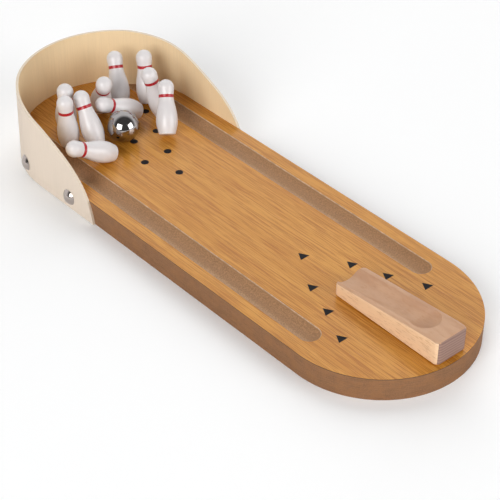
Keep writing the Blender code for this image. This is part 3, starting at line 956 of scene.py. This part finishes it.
class BOWLING_OT_pins(Piece, bpy.types.Operator):
    """Turn the pins and set each one where it is in its fall"""

    bl_idname = "bowling.pins"
    bl_label = "Pins"

    def build(self, scene):
        sizes = scene.bowling_pins
        materials = (
            gloss_lacquer("white_lacquer", sizes.lacquer),
            gloss_lacquer("red_enamel", sizes.enamel),
        )
        for number, lean in enumerate(PIN_LEANS, 1):
            name = f"pin_{number:02d}"
            joint = JOINTS[name + "_topple"]
            across = Vector(joint["axis"])
            heading = math.atan2(-across.x, across.y)
            middle = sizes.band_height + PIN_BAND_LIFTS.get(number, 0)
            low, high = middle - sizes.band_width / 2, middle + sizes.band_width / 2
            pin = self.turned_pin(sizes, (low, high))
            bpy.ops.object.shade_smooth_by_angle(angle=math.radians(50))
            coat_faces(pin, materials, lambda face: 1 if low < face.center.z < high else 0)
            rim = Matrix.Translation(Vector(joint["pos_m"]) - Vector((0, 0, sizes.settle)))
            turned = Matrix.Rotation(heading, 4, "Z") @ Matrix.Rotation(math.radians(lean), 4, "Y")
            pin.matrix_world = rim @ turned @ Matrix.Translation((-sizes.base_radius, 0, 0))
            finished(pin, name + "_turned", name, "pin_lacquer", (), name)

    def turned_pin(self, sizes, band):
        """Flat base, low belly, slim neck with the band's edges, round head."""
        rings = []
        for step in range(PIN_FOOT_STEPS + 1):
            bend = math.pi / 2 * step / PIN_FOOT_STEPS
            inset = sizes.base_round * (1 - math.sin(bend))
            rings.append((sizes.base_radius - inset, sizes.base_round * (1 - math.cos(bend))))
        for step in range(1, PIN_STEPS + 1):
            share = 1 - step / PIN_STEPS
            height = sizes.belly_height + (sizes.base_round - sizes.belly_height) * share
            swell = math.cos(math.pi / 2 * share)
            rings.append((sizes.base_radius + (sizes.belly_radius - sizes.base_radius) * swell, height))
        heights = [
            sizes.belly_height + (sizes.neck_height - sizes.belly_height) * step / (2 * PIN_STEPS)
            for step in range(1, 2 * PIN_STEPS + 1)
        ]
        head_height = sizes.height - sizes.head_radius
        heights += [
            sizes.neck_height + (head_height - sizes.neck_height) * step / PIN_NECK_STEPS
            for step in range(1, PIN_NECK_STEPS + 1)
        ]
        near = sizes.band_width / 8
        heights = [height for height in heights if all(abs(height - line) > near for line in band)]
        rings += [(self.waist(sizes, height), height) for height in sorted([*heights, *band])]
        for step in range(1, PIN_STEPS):
            bend = math.pi / 2 * step / PIN_STEPS
            reach, rise = sizes.head_radius * math.cos(bend), sizes.head_radius * math.sin(bend)
            rings.append((reach, head_height + rise))
        rings.append((sizes.head_radius * 0.01, sizes.height))
        return lathed("pin", rings, PIN_SIDES)

    def waist(self, sizes, height):
        """The pin's radius between its belly and its head."""
        if height > sizes.neck_height:
            head_height = sizes.height - sizes.head_radius
            share = (height - sizes.neck_height) / (head_height - sizes.neck_height)
            return eased(sizes.neck_radius, sizes.head_radius, share)
        share = (sizes.neck_height - height) / (sizes.neck_height - sizes.belly_height)
        return eased(sizes.neck_radius, sizes.belly_radius, 1 - (1 - share) ** 1.15)


class BOWLING_OT_ball(Piece, bpy.types.Operator):
    """Round a divided cube into the polished ball"""

    bl_idname = "bowling.ball"
    bl_label = "Ball"

    def build(self, scene):
        sizes = scene.bowling_ball
        radius = (BALL_HIGH.z - BALL_LOW.z) / 2
        centre = (BALL_HIGH + BALL_LOW) / 2 - Vector((0, 0, sizes.settle))
        bpy.ops.mesh.primitive_cube_add(size=2 * radius, location=(0, 0, 0))
        ball = bpy.context.object
        editing(ball)
        select_whole()
        bpy.ops.mesh.subdivide(number_cuts=BALL_CUTS)
        editing(ball, False)
        finish_modifier(ball, "CAST", cast_type="SPHERE", factor=1.0, use_radius_as_size=False, size=radius)
        bpy.ops.object.shade_smooth()
        ball.location = centre
        steel = bright_metal("polished_steel", sizes.steel, roughness=0.035, smudge=0.05)
        finished(ball, "rolling_ball", "ball", "ball_metal", (steel,), "steel_ball")


class BOWLING_OT_ramp(Piece, bpy.types.Operator):
    """Shape the launch ramp with its trough and dish"""

    bl_idname = "bowling.ramp"
    bl_label = "Launch ramp"

    def build(self, scene):
        sizes = scene.bowling_ramp
        block = self.sloped_block(sizes)
        soften(block, sizes.edge_round, segments=5, limit=38)
        middle = sizes.length / 2
        dish_y = sizes.dish_setback - middle
        dish_top = sizes.low + (sizes.high - sizes.low) * (middle - dish_y) / (sizes.length - sizes.flat)
        inner = Vector((0, dish_y, dish_top - sizes.inner_depth + sizes.trough_radius))
        mouth = Vector((-sizes.mouth_shift, middle, sizes.low - sizes.mouth_depth + sizes.trough_radius))
        run = (mouth - inner).length + sizes.trough_radius
        path = capsule(sizes.trough_radius, 0, run, TROUGH_SIDES)
        path.rotation_mode = "QUATERNION"
        path.rotation_quaternion = (mouth - inner).to_track_quat("Y", "Z")
        path.location = inner
        place_in_mesh(path)
        cut(block, path)
        bpy.ops.mesh.primitive_uv_sphere_add(
            segments=TROUGH_SIDES, ring_count=TROUGH_SIDES // 2, radius=sizes.trough_radius,
            location=(0, dish_y, dish_top - sizes.dish_depth + sizes.trough_radius),
        )
        cut(block, bpy.context.object)
        soften(block, sizes.rim_round, segments=3, limit=38)
        block.rotation_euler = (0, 0, sizes.turn)
        pivot = Vector(JOINTS["ramp_aim"]["pos_m"])
        block.location = pivot - Vector((0, 0, sizes.settle))
        place_in_mesh(block)

        def finish_of(face):
            from_end = middle - abs(face.center.y - pivot.y)
            if abs(face.normal.y) > RAMP_END_FACING and from_end < sizes.corner:
                return 2
            return 1 if face.normal.z > RAMP_TOP_FACING else 0

        materials = (
            long_grain("beech_sides", sizes.beech, tinted(sizes.beech, 0.9), sizes.fleck, amount=0.38),
            # The top's colour is partly its own pinker tone and partly painted shade
            long_grain("beech_top", sizes.blush, sizes.heart, sizes.fleck, amount=0.25),
            end_grain(sizes),
        )
        coat_faces(block, materials, finish_of)
        finished(block, "ramp_block", "ramp", "ramp_wood", (), "launch_ramp")

    def sloped_block(self, sizes):
        """Block with round upright corners, its top planed down to the low end."""
        bpy.ops.mesh.primitive_cube_add(size=1, location=(0, 0, sizes.high / 2))
        block = bpy.context.object
        block.name = "ramp_block"
        block.scale = (sizes.width, sizes.length, sizes.high)
        place_in_mesh(block)
        editing(block)
        pick(block, "EDGE", lambda e: abs(e.verts[0].co.z - e.verts[1].co.z) > sizes.high / 2)
        bpy.ops.mesh.bevel(offset=sizes.corner, segments=CORNER_STEPS, affect="EDGES")
        fall = math.atan2(sizes.high - sizes.low, sizes.length - sizes.flat)
        select_whole()
        bpy.ops.mesh.bisect(
            plane_co=(0, sizes.flat - sizes.length / 2, sizes.high),
            plane_no=(0, math.sin(fall), math.cos(fall)),
            use_fill=True,
            clear_outer=True,
        )
        leave_closed(block)
        return block


class BOWLING_OT_stage(Piece, bpy.types.Operator):
    """Set the pale ground, the soft lamps and the camera"""

    bl_idname = "bowling.stage"
    bl_label = "Stage"

    def build(self, scene):
        sizes = scene.bowling_stage
        self.lay_ground(sizes)
        self.light_dome(scene, sizes)
        for name, place, size, power, mirrored in SOFTBOXES:
            lamp = self.hang_lamp(name, place, size, getattr(sizes, power))
            lamp.visible_glossy = mirrored
        self.hang_dark_tent()
        self.set_camera(scene, sizes)
        scene.view_settings.view_transform = "Standard"

    def lay_ground(self, sizes):
        bpy.ops.mesh.primitive_plane_add(size=GROUND_SIZE, location=(0, 0, -GROUND_DROP))
        ground = bpy.context.object
        ground.name = "pale_ground"
        place_in_mesh(ground)
        ground.data.materials.append(pale_ground(sizes))

    def light_dome(self, scene, sizes):
        world = bpy.data.worlds.new("soft_sky")
        scene.world = world
        world.use_nodes = True
        tree = world.node_tree
        sky = tree.nodes["Background"]
        seen = tree.nodes.new("ShaderNodeLightPath")
        shown = seen.outputs["Is Camera Ray"]
        for ray in ("Is Glossy Ray", "Is Transmission Ray"):
            either = tree.nodes.new("ShaderNodeMath")
            either.operation = "MAXIMUM"
            tree.links.new(shown, either.inputs[0])
            tree.links.new(seen.outputs[ray], either.inputs[1])
            shown = either.outputs[0]
        strength = tree.nodes.new("ShaderNodeMix")
        strength.data_type = "FLOAT"
        tree.links.new(shown, strength.inputs[0])
        strength.inputs[2].default_value = sizes.dome
        strength.inputs[3].default_value = 1.0
        sky.inputs["Color"].default_value = (1, 1, 1, 1)
        tree.links.new(strength.outputs[0], sky.inputs["Strength"])

    def hang_lamp(self, name, place, size, power):
        light = bpy.data.lights.new(name, "AREA")
        light.shape = "SQUARE"
        light.size = size
        light.energy = power
        lamp = bpy.data.objects.new(name, light)
        bpy.context.scene.collection.objects.link(lamp)
        lamp.location = place
        lamp.rotation_euler = (-Vector(place)).to_track_quat("-Z", "Y").to_euler()
        return lamp

    def hang_dark_tent(self):
        """Only mirrors see it: the unlit half of the studio, on the camera's side."""
        facing = Vector(TENT_FACING)
        bpy.ops.mesh.primitive_uv_sphere_add(
            segments=TENT_SIDES, ring_count=TENT_SIDES // 2, radius=TENT_RADIUS
        )
        tent = bpy.context.object
        tent.name = "dark_tent"
        editing(tent)
        pick(tent, "VERT", lambda v: v.co.dot(facing) < 0 or v.co.z < -TENT_RADIUS / 2)
        bpy.ops.mesh.delete(type="VERT")
        editing(tent, False)
        paint = Paint("dark_tent", (0, 0, 0), 1.0, Specular_IOR_Level=0.0, Emission_Strength=1.0)
        inward = paint.axis("X") * facing.x + paint.axis("Y") * facing.y + paint.axis("Z") * facing.z
        folds = paint.noise(EVEN, 0.8, detail=2)
        cloth = paint.mix(folds, (0.05, 0.05, 0.05), (0.14, 0.136, 0.133))
        edge = paint.between(inward, 0, TENT_EDGE_SHARE * TENT_RADIUS)
        paint.set("Emission Color", paint.mix(edge, (0.9, 0.9, 0.9), cloth))
        tent.data.materials.append(paint.material)
        tent.visible_camera = tent.visible_diffuse = tent.visible_shadow = False
        tent.visible_transmission = tent.visible_volume_scatter = False

    def set_camera(self, scene, sizes):
        data = bpy.data.cameras.new("photo_camera")
        data.sensor_width = SENSOR_WIDTH
        data.lens = sizes.lens
        data.clip_start, data.clip_end = 0.01, 50
        camera = bpy.data.objects.new("photo_camera", data)
        scene.collection.objects.link(camera)
        heading, rise = sizes.azimuth, sizes.elevation
        forward = Vector(
            (math.sin(heading) * math.cos(rise), math.cos(heading) * math.cos(rise), -math.sin(rise))
        )
        right = Vector((math.cos(heading), -math.sin(heading), 0))
        up = right.cross(forward)
        roll = sizes.roll
        turned_right = math.cos(roll) * right + math.sin(roll) * up
        turned_up = -math.sin(roll) * right + math.cos(roll) * up
        axes = Matrix((turned_right, turned_up, -forward)).transposed().to_4x4()
        camera.matrix_world = Matrix.Translation(Vector(sizes.place)) @ axes
        scene.camera = camera


OPERATORS = (
    BOWLING_OT_board,
    BOWLING_OT_lane,
    BOWLING_OT_backstop,
    BOWLING_OT_nails,
    BOWLING_OT_pins,
    BOWLING_OT_ball,
    BOWLING_OT_ramp,
    BOWLING_OT_stage,
)


class BOWLING_PT_panel(bpy.types.Panel):
    """The game's pieces and their sizes, in the 3D view's sidebar."""

    bl_idname = "BOWLING_PT_panel"
    bl_label = "Tabletop bowling game"
    bl_space_type = "VIEW_3D"
    bl_region_type = "UI"
    bl_category = "Bowling"

    def draw(self, context):
        column = self.layout.column()
        for operator in OPERATORS:
            column.operator(operator.bl_idname)
        for name, group in SETTINGS.items():
            box = self.layout.box()
            for field in group.__annotations__:
                shown = field.replace("_", " ").capitalize()
                box.prop(getattr(context.scene, name), field, text=shown)


def register():
    for cls in (*SETTINGS.values(), *OPERATORS, BOWLING_PT_panel):
        bpy.utils.register_class(cls)
    for name, group in SETTINGS.items():
        setattr(bpy.types.Scene, name, bpy.props.PointerProperty(type=group))


def unregister():
    for name in SETTINGS:
        delattr(bpy.types.Scene, name)
    for cls in (BOWLING_PT_panel, *reversed(OPERATORS), *reversed(SETTINGS.values())):
        bpy.utils.unregister_class(cls)


def main():
    register()
    start_clean()
    bpy.ops.bowling.board()
    bpy.ops.bowling.lane()
    bpy.ops.bowling.backstop()
    bpy.ops.bowling.nails()
    bpy.ops.bowling.pins()
    bpy.ops.bowling.ball()
    bpy.ops.bowling.ramp()
    bpy.ops.bowling.stage()


if __name__ == "__main__":
    main()
